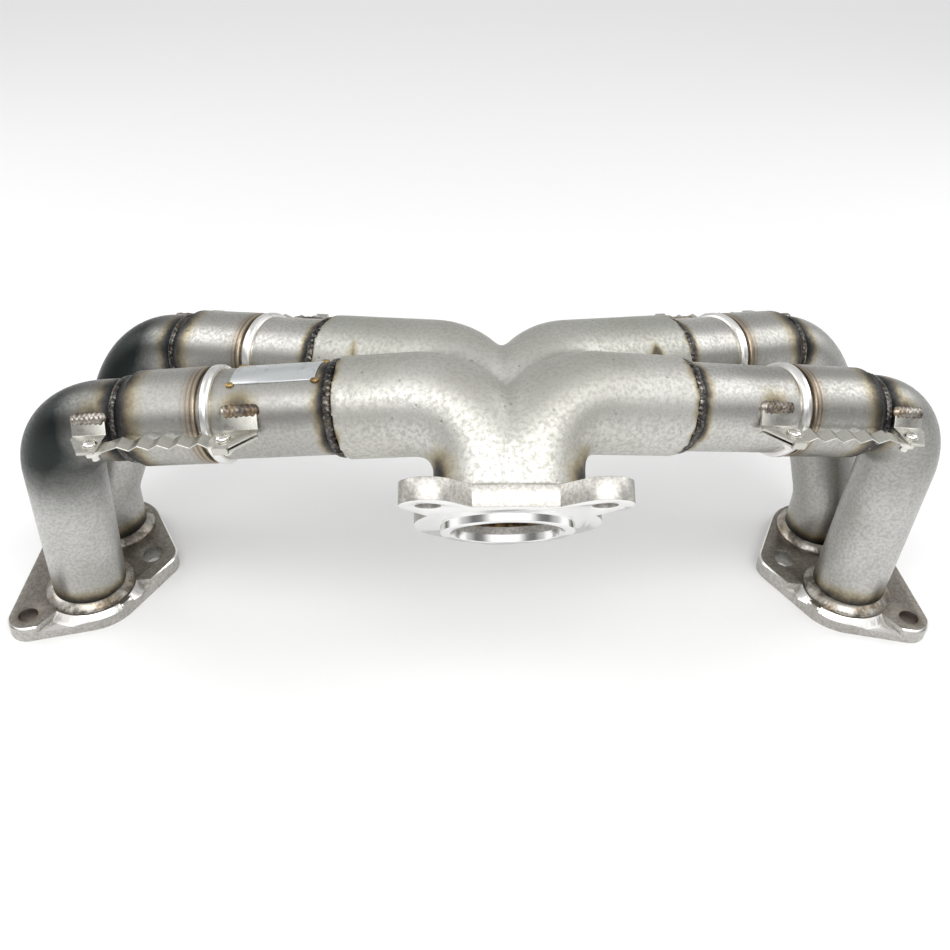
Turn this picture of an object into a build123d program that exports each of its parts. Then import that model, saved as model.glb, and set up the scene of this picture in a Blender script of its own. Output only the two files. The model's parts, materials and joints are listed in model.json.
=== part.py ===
from build123d import *
import os
from math import cos, pi, radians, sin

# Four-into-one exhaust manifold for a flat engine with a turbocharger in front.
# It stands on its two head flanges: Z = 0 is the head-gasket plane, +Z points up, -Y is the
# front, where the outlet faces forward and down, and X runs from bank to bank. The origin is
# on the gasket plane, in the middle of the whole manifold.
# The collector half and each bank half meet in slip joints, which corrugated straps
# hold together, so the three halves can move a little against each other as they heat.

os.makedirs("parts", exist_ok=True)

# ---- driving dimensions, mm ------------------------------------------------------
tube_od = 41.3              # 1 5/8 in runner tube
tube_id = 38.0
port_bore = 39.0            # through the head flange, a little wider than the runner's own
spigot_od = 44.0            # 1 3/4 in tube on the collector side of each slip joint
spigot_id = 41.0
sleeve_od = 47.6            # 1 7/8 in sleeve
slip_clearance = 0.4        # radial room round the spigot
stub_od = 49.0              # cast collector branches
stub_id = 41.0
branch_end_length = 26.0    # straight end of each cast branch
neck_length = 12.0          # of the casting, above the outlet flange

flange_thickness = 10.0
stud_hole = 11.0            # clearance hole for an M10 stud
port_pitch = 54.5           # between the two ports of one head
port_x = 229.0              # ports from the centre plane
bank_front_port_y = {"left": 4.25, "right": -3.0}     # the right head sits 7 mm ahead
ear_offset = (29.0, 25.0)   # end stud holes: outboard of, and beyond, the nearest port
slot_offset = 30.0          # middle stud slot: inboard of the port line
slot_size = (11.0, 15.0)    # width, and length along Y
ear_radius = 11.5
slot_boss_radius = 15.0
port_boss_radius = 29.0
scallops = ((-122, -38), (-22, 8))    # clearance cuts round the front port: degrees, 0 inboard
scallop_radius = 26.0       # where they start, just outside the port's weld
scallop_depth = 4.5

outlet_centre = (9.0, -78.5, 125.0)    # on the outlet flange's machined face
outlet_tilt = 39.6                      # degrees below the horizontal, facing -Y
outlet_bore = 53.0
outlet_step_bore = 47.0
outlet_ring_od = 62.5
outlet_ring_height = 3.7
outlet_plate_radius = 43.5
outlet_ear = (37.2, 45.0)               # upper stud holes, from the bore centre
outlet_lower_stud = 45.0                # lower stud hole, below the bore centre
outlet_ear_radius = 12.5

slip_gap = 2.5              # sleeve mouth to stop ring
stop_ring_width = 4.6
stop_ring_od = 48.6
spigot_in_sleeve = 28.0
sleeve_wall_end = 5.0       # length of the tapered end that is welded to the runner

strap_width = 8.0
strap_thickness = 0.8
strap_pitch = 10.5
strap_height = 2.4          # crest to trough
strap_standoff = 30.0       # strap centre line from the tube's axis
strap_rise = 5.0            # strap above the tube's axis
sheet = 1.2                 # clip sheet
clip_length = 18.0
inner_screw = 9.0           # collector's strap screw, inboard of the stop ring
clip_shift = {"inner": -6.0, "outer": 4.5}               # clip's middle from its screw
merge_radius = 34.0         # bend of each branch inside the collector
screw_d = 4.0
screw_hole = 4.4

# Each runner: the side it serves, its port's place along Y, the corner where the elbow
# turns towards the collector, the corner inside the collector, the elbow's radius, the
# distances along the straight stretch, counted from the inside corner, of the collector's
# mouth and the stop ring, the sleeve's length, and the bank's strap screw past the sleeve.
runners = {
    "front_left": dict(bank="left", port=0, corner=(-217, -8, 134.5), merge=(-1, -46.5, 173),
                       elbow=39, mouth=67, ring=127, sleeve=42, outer_screw=9.5, strap_side=-1),
    "rear_left": dict(bank="left", port=1, corner=(-195.5, 85.5, 125.5), merge=(-1, -13.5, 168.5),
                      elbow=40, mouth=85, ring=125, sleeve=48, outer_screw=10.0, strap_side=1),
    "front_right": dict(bank="right", port=0, corner=(238.5, 9, 129), merge=(19, -46.5, 173),
                        elbow=35, mouth=76, ring=136, sleeve=47, outer_screw=9.5, strap_side=-1),
    "rear_right": dict(bank="right", port=1, corner=(212.5, 93.5, 123.5), merge=(19, -13.5, 168.5),
                       elbow=38, mouth=93, ring=132, sleeve=48, outer_screw=9.5, strap_side=1),
}
knee_height = {"rear_left": 44.0, "rear_right": 41.0}    # lower bend of the rear legs
knee_radius = 37.0

UP = Vector(0, 0, 1)
bank_sign = {"left": -1, "right": 1}


def keep(part, node):
    """Write one sub-part as parts/NODE.step."""
    part.label = node
    export_step(part, f"parts/{node}.step")


def circle_sweep(path, diameter):
    return sweep(Plane(origin=path @ 0, z_dir=path % 0) * Circle(diameter / 2), path)


def rod(start, direction, length, diameter):
    """A solid round bar from a point along a direction."""
    return extrude(Plane(origin=start, z_dir=direction) * Circle(diameter / 2), length)


def tube_between(start, direction, length, outer, inner):
    return rod(start, direction, length, outer) - rod(start, direction, length, inner)


def turned(start, direction, profile):
    """Revolve a (distance along, radius) outline about a line."""
    outline = Polyline(*[(r, 0, a) for a, r in profile], close=True)
    solid = revolve(make_face(outline), Axis.Z)
    return Plane(origin=start, z_dir=direction).location * solid


def weld_ring(start, direction, width, tube, height):
    """A rounded fillet weld round a tube: a low crown on the tube's surface."""
    steps = 5
    crown = [(width * i / steps, tube / 2 + 0.02 + height * sin(pi * i / steps) ** 0.5)
             for i in range(1, steps)]
    return turned(start, direction, [(0, tube / 2 + 0.02)] + crown + [(width, tube / 2 + 0.02)])


# ---- places worked out from the driving dimensions -------------------------------
outlet_normal = Vector(0, -cos(radians(outlet_tilt)), -sin(radians(outlet_tilt)))
outlet_plane = Plane(origin=outlet_centre, x_dir=(1, 0, 0), z_dir=outlet_normal)
outlet_up = Vector(0, -sin(radians(outlet_tilt)), cos(radians(outlet_tilt)))
sleeve_id = spigot_od + 2 * slip_clearance


def port_of(name):
    run = runners[name]
    x = bank_sign[run["bank"]] * port_x
    return Vector(x, bank_front_port_y[run["bank"]] + port_pitch * run["port"], flange_thickness)


def axis_of(name):
    """The corner inside the collector and the direction from it out to the elbow."""
    merge, corner = Vector(*runners[name]["merge"]), Vector(*runners[name]["corner"])
    return merge, (corner - merge).normalized()


def station(name, distance):
    merge, outward = axis_of(name)
    return merge + outward * distance


def stations(name):
    """Distances from the inside corner: mouth, ring, sleeve mouth, sleeve end, runner end."""
    run = runners[name]
    sleeve_mouth = run["ring"] + stop_ring_width + slip_gap
    sleeve_end = sleeve_mouth + run["sleeve"]
    return run["mouth"], run["ring"], sleeve_mouth, sleeve_end


# ---- runners, sleeves and spigots ------------------------------------------------
def leg_direction(name):
    """The leg's direction at the flange, pointing up."""
    port, corner = port_of(name), Vector(*runners[name]["corner"])
    top = Vector(port.X, port.Y, knee_height[name]) if name in knee_height else corner
    return (top - port).normalized()


def elbow_runner(name):
    run = runners[name]
    port, corner = port_of(name), Vector(*run["corner"])
    start = station(name, stations(name)[3])
    below = port - leg_direction(name) * 8
    points, radii = [start, corner, below], [run["elbow"]]
    if name in knee_height:
        points = [start, corner, Vector(port.X, port.Y, knee_height[name]), below]
        radii = [run["elbow"], knee_radius]
    path = FilletPolyline(*points, radius=radii)
    tube = circle_sweep(path, tube_od) - circle_sweep(path, tube_id)
    under_flange = Pos(port.X, port.Y, flange_thickness - 15) * Box(90, 90, 30)
    return tube - under_flange


def slip_sleeve(name):
    length = runners[name]["sleeve"]
    _, outward = axis_of(name)
    start = station(name, stations(name)[2])
    taper = length - sleeve_wall_end
    outer, inner = sleeve_od / 2, sleeve_id / 2
    lip, neck = 0.6, tube_od / 2 + 0.7
    return turned(start, outward, [
        (0, inner), (0, outer - 0.4), (lip, outer), (taper, outer), (length, neck),
        (length, tube_id / 2), (length - 1.5, tube_id / 2), (taper - 1, inner),
    ])


def inner_tube(name):
    mouth, _, sleeve_mouth, _ = stations(name)
    _, outward = axis_of(name)
    length = sleeve_mouth + spigot_in_sleeve - mouth
    tube = tube_between(station(name, mouth), outward, length, spigot_od, spigot_id)
    return tube


def stop_ring(name):
    _, outward = axis_of(name)
    outer, inner, width = stop_ring_od / 2, spigot_od / 2 + 0.02, stop_ring_width
    return turned(station(name, stations(name)[1]), outward, [
        (0, inner), (0.3, outer - 1.2), (1.1, outer - 0.2), (width / 2, outer),
        (width - 0.5, outer - 0.1), (width, outer - 0.6), (width, inner),
    ])


# ---- collector -------------------------------------------------------------------
# The front pair of branches meets the outlet high on its upper side and the rear pair
# low, and the left and right branches of a pair stand a little apart.
neck_rise = {"front": 14.0, "rear": -6.0}


def branch_path(name, end_depth):
    """Centre line of one cast branch, from its mouth to the outlet."""
    run = runners[name]
    merge, outward = axis_of(name)
    side = merge.X - outlet_centre[0]
    face = Vector(*outlet_centre)
    end = face - outlet_normal * end_depth + outlet_up * neck_rise[name.split("_")[0]]
    end = end + Vector(side, 0, 0)
    return FilletPolyline(station(name, run["mouth"]), merge, end, radius=merge_radius)


def collector_body():
    outer = rod(Vector(*outlet_centre) - outlet_normal * flange_thickness, -outlet_normal, 26, 61)
    rise = outlet_up * 7
    outer += rod(Vector(*outlet_centre) - outlet_normal * flange_thickness + rise,
                 -outlet_normal, 20, 62)
    hollow = rod(Vector(*outlet_centre), -outlet_normal, 34, outlet_step_bore)
    for name in runners:
        outer += circle_sweep(branch_path(name, flange_thickness), stub_od)
    for name in runners:
        hollow += circle_sweep(branch_path(name, flange_thickness + 8), stub_id)
    behind_flange = extrude(outlet_plane * Rectangle(160, 160), -flange_thickness)
    return outer - hollow - behind_flange


def outlet_outline():
    """Round plate with two upper ears and a lower one, joined by hollow curves."""
    ear_x, ear_y = outlet_ear
    plate = Circle(outlet_plate_radius)
    top_edge = 42.4
    bridge = Rectangle(2 * 27, top_edge, align=(Align.CENTER, Align.MIN))
    outline = plate + bridge
    for side in (-1, 1):
        ear = Pos(side * ear_x, ear_y) * Circle(outlet_ear_radius)
        web = make_hull((ear.edges() + (Pos(side * 20, 22) * Circle(14)).edges()))
        outline += ear + web
    lower = Pos(0, -outlet_lower_stud) * Circle(outlet_ear_radius)
    outline += make_hull(lower.edges() + (Pos(0, -20) * Circle(24)).edges())
    return outline


def outlet_flange():
    # In the plate's own plane +X runs left to right and +Y up the face.
    flat = Plane(origin=outlet_centre, x_dir=(1, 0, 0), z_dir=outlet_normal)
    if flat.y_dir.dot(outlet_up) < 0:
        flat = Plane(origin=outlet_centre, x_dir=(-1, 0, 0), z_dir=outlet_normal)
    plate = extrude(flat * outlet_outline(), -flange_thickness)
    plate += extrude(flat * Circle(outlet_ring_od / 2), outlet_ring_height)
    plate -= extrude(flat * Circle(outlet_step_bore / 2), -flange_thickness)
    plate -= extrude(flat * Circle(outlet_bore / 2), outlet_ring_height)
    plate -= extrude(flat * Circle(outlet_bore / 2), -4)
    for x, y in outlet_stud_places():
        plate -= extrude(flat * Pos(x, y) * Circle(stud_hole / 2), -flange_thickness)
    return plate


def outlet_stud_places():
    ear_x, ear_y = outlet_ear
    return [(-ear_x, ear_y), (ear_x, ear_y), (0, -outlet_lower_stud)]


# ---- head flanges ----------------------------------------------------------------
def flange_places(bank):
    """Ports, end stud holes and the middle slot of one head flange, in plan."""
    side, front = bank_sign[bank], bank_front_port_y[bank]
    rear = front + port_pitch
    ports = [(side * port_x, front), (side * port_x, rear)]
    outboard, beyond = ear_offset
    ears = [(side * (port_x + outboard), front - beyond), (side * (port_x + outboard), rear + beyond)]
    slot = (side * (port_x - slot_offset), (front + rear) / 2)
    return ports, ears, slot


def scallop(bank, first, last):
    """One conical clearance cut in the plate's top edge, over a sector round the front port."""
    side = bank_sign[bank]
    (x, y), _ = flange_places(bank)[0]
    reach, top = 60.0, flange_thickness + 0.01
    floor, wall = top - scallop_depth, scallop_radius + scallop_depth
    ring = turned(Vector(x, y, 0), UP, [(top, scallop_radius), (floor, wall), (floor, reach), (top, reach)])
    angles = [radians(first + (last - first) * i / 3) for i in range(4)]
    sector = [(x, y)] + [(x - side * 2 * reach * cos(a), y + 2 * reach * sin(a)) for a in angles]
    return ring & extrude(make_face(Polyline(*sector, close=True)), 2 * top)


def head_flange(bank):
    ports, ears, slot = flange_places(bank)
    circles = [Pos(*p) * Circle(port_boss_radius) for p in ports]
    circles += [Pos(*p) * Circle(ear_radius) for p in ears]
    circles.append(Pos(*slot) * Circle(slot_boss_radius))
    outline = make_hull([edge for circle in circles for edge in circle.edges()])
    plate = extrude(outline, flange_thickness)
    top = plate.faces().sort_by(Axis.Z)[-1]
    plate = chamfer(top.edges(), 1.0)
    for place in ports:
        plate -= Pos(*place) * Cylinder(port_bore / 2, flange_thickness * 3)
    for place in ears:
        plate -= Pos(*place) * Cylinder(stud_hole / 2, flange_thickness * 3)
    for first, last in scallops:
        plate -= scallop(bank, first, last)
    width, length = slot_size
    plate -= Pos(*slot) * extrude(SlotOverall(length, width, rotation=90), flange_thickness * 3, both=True)
    return plate


def port_weld(name):
    """Fillet weld between a leg and its flange, as wide as the machined seat round it."""
    port, lean = port_of(name), leg_direction(name)
    seat, top, height = tube_od / 2 + 4.9, tube_od / 2 + 0.9, 5.2
    cone = turned(port, UP, [(0, 0), (0, seat), (1.6, seat - 0.5), (3.6, top + 1.4), (height, top), (height, 0)])
    return cone - rod(port - lean * 10, lean, 40, tube_od + 0.04)


# ---- straps, clips, screws -------------------------------------------------------
def strap_plane(name, distance):
    """Local frame at a place on the runner: X outwards along it, Y across towards its open
    side, Z up. The origin is on the tube's axis."""
    _, outward = axis_of(name)
    side = Vector(0, runners[name]["strap_side"], 0)
    across = (side - outward * side.dot(outward)).normalized()
    up = outward.cross(across)
    if up.Z < 0:
        up = -up
    return Plane(origin=station(name, distance), x_dir=outward, z_dir=up), across


def strap_ends(name):
    """Screw places along the runner: on the collector's side and on the bank's side."""
    _, ring, _, sleeve_end = stations(name)
    return ring - inner_screw, sleeve_end + runners[name]["outer_screw"]


def across_sign(name):
    """+1 where the local Y of strap_plane points away from the tube on the strap's side."""
    plane, across = strap_plane(name, 0)
    return 1 if plane.y_dir.dot(across) > 0 else -1


def strap(name):
    inner, outer = strap_ends(name)
    plane, _ = strap_plane(name, inner)
    span, end_land = outer - inner, 5.5
    waves = round((span - 3 * end_land) / strap_pitch)
    pitch = (span - 3 * end_land) / waves
    lead = 1.5 * end_land
    crests = []
    for i in range(waves):
        crests += [(lead + pitch * (i + 0.25), strap_height), (lead + pitch * (i + 0.75), 0)]
    line = [(-4, 0), (lead - 1, 0)] + crests[:-1] + [(span - lead + 1, 0), (span + 4, 0)]
    radius = [0.9] * (len(line) - 2)
    lower = FilletPolyline(*[Vector(x, 0, z) for x, z in line], radius=radius)
    upper = lower.moved(Location((0, 0, strap_thickness)))
    ends = [Line(lower @ i, upper @ i) for i in (0, 1)]
    ribbon = make_face([lower.edges(), upper.edges(), *ends])
    ribbon = extrude(ribbon, strap_width / 2, both=True)
    for x in (0, span):
        ribbon -= Pos(x, 0, 0) * Cylinder(screw_hole / 2, 10)
    shift = Location((0, across_sign(name) * strap_standoff, strap_rise - strap_thickness))
    return plane.location * (shift * ribbon)


def clip_place(name, where):
    """Local frame at a clip's screw, and the diameter of the tube it is welded to."""
    inner, outer = strap_ends(name)
    plane, _ = strap_plane(name, inner if where == "inner" else outer)
    return plane, spigot_od if where == "inner" else tube_od


def prism(outline, length):
    """A solid of one section in local (across, up), drawn out along local X."""
    return extrude(make_face(Polyline(*[(0, y, z) for y, z in outline], close=True)),
                   length / 2, dir=(1, 0, 0), both=True)


def clip(name, where):
    """Bent sheet clip: a leg that lies on the tube, and a shelf with the screw hole, its
    corner cut back. The collector's clip also folds back under the strap."""
    plane, diameter = clip_place(name, where)
    radius, z = diameter / 2 + 0.35, strap_rise
    high = radians(33)
    foot = (radius * cos(high), radius * sin(high))
    bend = ((radius + 0.3) ** 2 - z ** 2) ** 0.5
    tip = strap_standoff + 6.5
    body = prism([foot, (bend, z), (tip, z), (tip, z + sheet), (bend + sheet, z + sheet),
                  (foot[0] + sheet, foot[1] + 0.5)], clip_length)
    if where == "inner":
        under = z - strap_thickness - 0.3
        body += prism([(tip, z + sheet), (tip + sheet, z + sheet), (tip + sheet, under - sheet),
                       (strap_standoff - 5, under - sheet), (strap_standoff - 5, under), (tip, under)],
                      clip_length)
    away = 1 if where == "outer" else -1
    middle = clip_shift[where]
    wide, narrow = middle + away * (clip_length / 2 + 1), away * 4.4
    corner = make_face(Polyline((wide, bend + 2.5), (wide, tip + 5), (narrow, tip + 5),
                                (narrow, tip - 0.5), close=True))
    body = Pos(middle, 0, 0) * body - extrude(corner, 20, both=True)
    body -= Pos(0, strap_standoff, 0) * Cylinder(screw_hole / 2, 40)
    if across_sign(name) < 0:
        body = mirror(body, Plane.XZ)
    return plane.location * body


def clip_weld(name, where):
    """Crowned bead along the upper edge of a clip's leg."""
    plane, diameter = clip_place(name, where)
    angle, radius = radians(37), diameter / 2 + 0.3
    middle = Vector(clip_shift[where], radius * cos(angle), radius * sin(angle))
    wide, high, length = 3.0, 2.2, clip_length - 1
    bead = Box(length, 2 * wide, 2 * high)
    bead = chamfer(bead.edges(), 1.3)
    bead = Pos(*middle) * Rot(37 - 90, 0, 0) * bead
    if across_sign(name) < 0:
        bead = mirror(bead, Plane.XZ)
    merge, outward = axis_of(name)
    tube = rod(merge, outward, 260, diameter + 0.04)
    return plane.location * bead - tube - clip(name, where)


def screw(name, where):
    inner, outer = strap_ends(name)
    plane, _ = strap_plane(name, inner if where == "inner" else outer)
    z = strap_rise + sheet
    drop = 8.2
    head = turned(Vector(0, 0, z), UP, [(0, 0), (0, 3.6), (0.9, 3.6), (1.7, 3.0), (2.3, 1.9), (2.5, 0)])
    head -= Pos(0, 0, z + 2.5) * Box(10, 0.9, 1.8)
    shank = Pos(0, 0, z - drop) * extrude(Circle(screw_d / 2), drop)
    return plane.location * (Location((0, across_sign(name) * strap_standoff, 0)) * (head + shank))


def nut(name, where):
    inner, outer = strap_ends(name)
    plane, _ = strap_plane(name, inner if where == "inner" else outer)
    under = strap_rise - strap_thickness - (0.3 + sheet if where == "inner" else 0)
    body = extrude(RegularPolygon(4.0, 6), -3.2) - Cylinder(screw_d / 2 + 0.01, 20)
    return plane.location * (Location((0, across_sign(name) * strap_standoff, under)) * body)


def group(solids):
    return Compound(children=list(solids))


# ---- identification plate --------------------------------------------------------
plate_size = (42.0, 19.0)
plate_thickness = 0.6
plate_angle = 96.0          # degrees round the tube, from the front towards the top


def plate_frame():
    """Frame on the front left inner tube, X out along it, Z out from its surface."""
    mouth, ring = runners["front_left"]["mouth"], runners["front_left"]["ring"]
    place, across = strap_plane("front_left", (mouth + ring) / 2)
    angle = radians(plate_angle)
    outwards = across * cos(angle) + place.z_dir * sin(angle)
    _, along = axis_of("front_left")
    return Plane(origin=place.origin, x_dir=along, z_dir=outwards)


def id_plate():
    length, width = plate_size
    radius = spigot_od / 2 + 0.1
    shell = Cylinder(radius + plate_thickness, length) - Cylinder(radius, length)
    shell = Rot(0, 90, 0) * shell
    keep_zone = Pos(0, 0, radius) * Box(length, width, radius)
    return plate_frame().location * (shell & keep_zone)


def id_plate_tacks():
    length, width = plate_size
    frame = plate_frame()
    radius = spigot_od / 2
    _, along = axis_of("front_left")
    tube = rod(Vector(*runners["front_left"]["merge"]), along, 200, spigot_od + 0.04)
    tacks = []
    for x in (-1, 1):
        for y in (-1, 1):
            across = y * width / 2
            drop = radius - (radius ** 2 - across ** 2) ** 0.5
            dot = scale(Sphere(1), by=(2.2, 1.8, 1.1))
            dot = frame.location * (Pos(x * length / 2, across, radius + 0.3 - drop) * dot)
            tacks.append(dot - tube - id_plate())
    return group(tacks)


def collector_parts():
    """The casting by node: the straight end of each branch, the neck above the outlet flange,
    and the core that they all run into."""
    core, parts = collector_body(), {}
    for name in runners:
        _, outward = axis_of(name)
        zone = rod(station(name, runners[name]["mouth"]), -outward, branch_end_length, stub_od + 0.4)
        parts[f"collector_branch_{name}"] = core & zone
        core -= zone
    seat = Vector(*outlet_centre) - outlet_normal * flange_thickness
    zone = rod(seat, -outlet_normal, neck_length, 110)
    parts["collector_neck"] = core & zone
    parts["collector_body"] = core - zone
    return parts


# ---- build -----------------------------------------------------------------------
def main():
    for node, solid in collector_parts().items():
        keep(solid, node)
    keep(outlet_flange(), "outlet_flange")
    keep(id_plate(), "id_plate")
    keep(id_plate_tacks(), "id_plate_tacks")
    for name in runners:
        mouth, _, _, sleeve_end = stations(name)
        _, outward = axis_of(name)
        keep(inner_tube(name), f"inner_tube_{name}")
        keep(weld_ring(station(name, mouth), outward, 5.0, spigot_od, 1.7), f"collector_weld_{name}")
        keep(stop_ring(name), f"stop_ring_{name}")
        keep(slip_sleeve(name), f"slip_sleeve_{name}")
        keep(weld_ring(station(name, sleeve_end), outward, 4.0, tube_od, 1.2), f"sleeve_weld_{name}")
        keep(elbow_runner(name), f"elbow_runner_{name}")
        keep(port_weld(name), f"port_weld_{name}")
        keep(strap(name), f"strap_{name}")
        keep(clip(name, "inner"), f"inner_clip_{name}")
        keep(clip(name, "outer"), f"outer_clip_{name}")
    for bank in bank_sign:
        keep(head_flange(bank), f"head_flange_{bank}")
        mine = [name for name in runners if runners[name]["bank"] == bank]
        keep(group(clip_weld(name, "outer") for name in mine), f"outer_clip_welds_{bank}")
        keep(group(screw(name, "outer") for name in mine), f"outer_clip_screws_{bank}")
        keep(group(nut(name, "outer") for name in mine), f"outer_clip_nuts_{bank}")
    keep(group(clip_weld(name, "inner") for name in runners), "inner_clip_welds")
    keep(group(screw(name, "inner") for name in runners), "inner_clip_screws")
    keep(group(nut(name, "inner") for name in runners), "inner_clip_nuts")


main()
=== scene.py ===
import json
import math

import bmesh
import bpy
from bpy.props import FloatProperty, FloatVectorProperty, PointerProperty
from mathutils import Matrix, Quaternion, Vector, noise


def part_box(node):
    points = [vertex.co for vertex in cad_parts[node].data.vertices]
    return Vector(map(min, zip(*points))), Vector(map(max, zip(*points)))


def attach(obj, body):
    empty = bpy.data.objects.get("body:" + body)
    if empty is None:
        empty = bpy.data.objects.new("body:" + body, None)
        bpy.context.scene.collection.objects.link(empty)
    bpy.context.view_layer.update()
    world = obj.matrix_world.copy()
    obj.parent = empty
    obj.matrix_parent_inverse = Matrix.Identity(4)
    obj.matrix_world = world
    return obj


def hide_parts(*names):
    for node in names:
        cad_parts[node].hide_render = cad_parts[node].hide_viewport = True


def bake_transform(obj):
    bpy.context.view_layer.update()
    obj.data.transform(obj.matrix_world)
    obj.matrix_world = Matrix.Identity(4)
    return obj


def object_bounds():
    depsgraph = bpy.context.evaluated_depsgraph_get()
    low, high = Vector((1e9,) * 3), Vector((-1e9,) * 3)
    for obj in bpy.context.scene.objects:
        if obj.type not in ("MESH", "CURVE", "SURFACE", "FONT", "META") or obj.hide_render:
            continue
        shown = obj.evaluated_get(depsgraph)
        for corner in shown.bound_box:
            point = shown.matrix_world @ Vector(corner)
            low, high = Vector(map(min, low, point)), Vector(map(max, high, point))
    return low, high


# The finish of a four-into-one exhaust manifold: welded and blasted stainless tube, a cast
# collector, machined flanges, corrugated straps and their clips, on a pale studio floor.

bl_info = {
    "name": "Exhaust manifold finish",
    "version": (1, 0, 0),
    "blender": (4, 5, 0),
    "location": "3D View > Sidebar > Manifold",
    "description": "Makes the welds, casting, straps, fasteners and metals of an exhaust manifold",
    "category": "Object",
}

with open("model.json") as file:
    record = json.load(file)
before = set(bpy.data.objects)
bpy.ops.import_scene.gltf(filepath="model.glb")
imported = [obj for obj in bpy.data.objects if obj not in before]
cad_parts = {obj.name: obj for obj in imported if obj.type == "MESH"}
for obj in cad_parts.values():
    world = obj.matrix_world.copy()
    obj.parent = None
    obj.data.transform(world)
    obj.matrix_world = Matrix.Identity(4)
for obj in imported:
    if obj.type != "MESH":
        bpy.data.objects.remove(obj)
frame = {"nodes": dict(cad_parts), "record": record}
cad_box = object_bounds()

MM = 0.001
TO_MM = 1000.0
PORT_AXIS = Vector((0, 0, 1))    # the ports' and the head flanges' axis
RUNNERS = ("front_left", "rear_left", "front_right", "rear_right")
BANKS = ("left", "right")
CASTING = ("collector_body", "collector_neck", *(f"collector_branch_{runner}" for runner in RUNNERS))


def bank_of(runner):
    return runner.split("_")[1]


def linear(code):
    """An sRGB hex colour as the linear colour that the shader nodes take."""
    channels = [int(code[i:i + 2], 16) / 255 for i in (1, 3, 5)]
    return tuple(c / 12.92 if c <= 0.04045 else ((c + 0.055) / 1.055) ** 2.4 for c in channels) + (1.0,)


# ---- places read from the frame -----------------------------------------------------
def corners(node):
    """The different vertex positions of a CAD node."""
    vertices = frame["nodes"][node].data.vertices
    return [Vector(p) for p in {tuple(round(c, 6) for c in v.co) for v in vertices}]


def middle(points):
    return sum(points, Vector()) / len(points)


def mount(name):
    """One mount of the record, which has its pos_m, axis and dims."""
    return next(m for m in frame["record"]["mounts"] if m["name"] == name)


class Line:
    """The straight stretch of one runner: the places along its axis, the way out to the elbow,
    and the weld of its port."""

    def __init__(self, runner):
        self.ring = middle(corners(f"stop_ring_{runner}"))
        self.end_weld = middle(corners(f"sleeve_weld_{runner}"))
        self.mouth_weld = middle(corners(f"collector_weld_{runner}"))
        self.out = (self.end_weld - self.mouth_weld).normalized()
        self.port = middle(corners(f"port_weld_{runner}"))
        sleeve = min((point - self.ring).dot(self.out) for point in corners(f"slip_sleeve_{runner}"))
        self.sleeve_mouth = self.ring + self.out * sleeve


lines = {runner: Line(runner) for runner in RUNNERS}


# ---- sizes and colours that a user would change ----------------------------------------
class FinishSettings(bpy.types.PropertyGroup):
    edge_round: FloatProperty(
        name="Edge rounding", description="Rounding of the sheet and machined edges",
        default=0.25 * MM, min=0, unit="LENGTH")
    ripple_pitch: FloatProperty(
        name="Weld ripple", description="Distance between two ripples of a weld bead",
        default=2.6 * MM, min=0.5 * MM, unit="LENGTH")
    cast_voxel: FloatProperty(
        name="Casting mesh", description="Mesh size of the blended casting",
        default=1.7 * MM, min=1.0 * MM, unit="LENGTH")
    oxide_colour: FloatVectorProperty(
        name="Oxide", description="Colour of the oxide film beside the welds", subtype="COLOR", size=4,
        default=linear("#3b3d3e"), min=0, max=1)


class StudioSettings(bpy.types.PropertyGroup):
    floor_colour: FloatVectorProperty(
        name="Floor", description="Colour of the studio floor", subtype="COLOR", size=4,
        default=linear("#f7f7f7"), min=0, max=1)
    camera_place: FloatVectorProperty(
        name="Camera", description="Where the camera stands", subtype="TRANSLATION", unit="LENGTH",
        default=(-0.0305, -0.4086, 0.4034))
    camera_aim: FloatVectorProperty(
        name="Aim", description="The point that the lens axis passes through", subtype="TRANSLATION",
        unit="LENGTH", default=(-0.0060, 0.0661, 0.0372))
    camera_roll: FloatProperty(
        name="Roll", description="Turn of the camera about the lens axis", subtype="ANGLE",
        unit="ROTATION", default=math.radians(1.70))
    lens: FloatProperty(
        name="Lens", description="Focal length in millimetres on a 36 mm sensor", default=35.28)


# ---- materials ---------------------------------------------------------------------
# A noise fills the middle of its range from 0 to 1, so the fades below take it from about a third
# to two thirds.
def add(tree, kind, inputs=None, **settings):
    """Add a node with its settings, and set or link its inputs."""
    node = tree.nodes.new(kind)
    for key, value in settings.items():
        setattr(node, key, value)
    for place, value in (inputs or {}).items():
        if isinstance(value, bpy.types.NodeSocket):
            tree.links.new(value, node.inputs[place])
        else:
            node.inputs[place].default_value = value
    return node


def set_stops(ramp, stops):
    """Give a colour ramp its stops, as (position, colour) pairs."""
    elements = ramp.color_ramp.elements
    while len(elements) < len(stops):
        elements.new(1.0)
    for element, (position, colour) in zip(elements, stops):
        element.position = position
        element.color = colour


def start(name):
    material = bpy.data.materials.new(name)
    material.use_nodes = True
    tree = material.node_tree
    tree.nodes.clear()
    place = add(tree, "ShaderNodeTexCoord").outputs["Object"]
    return material, tree, place


def grain(tree, place, size_mm, detail=3.0, roughness=0.6):
    """A noise whose specks are about size_mm across, as a value from 0 to 1."""
    return add(tree, "ShaderNodeTexNoise", {
        "Vector": place, "Scale": TO_MM / size_mm / 2, "Detail": detail,
        "Roughness": roughness}).outputs["Fac"]


def fade(tree, value, low, high, out_low=0.0, out_high=1.0):
    """A soft step from out_low, where the value is low, to out_high, where it is high."""
    return add(tree, "ShaderNodeMapRange", {
        "Value": value, "From Min": low, "From Max": high, "To Min": out_low, "To Max": out_high},
        interpolation_type="SMOOTHSTEP", clamp=True).outputs["Result"]


def reckon(tree, operation, first, second=0.0):
    return add(tree, "ShaderNodeMath", {0: first, 1: second}, operation=operation).outputs[0]


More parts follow.
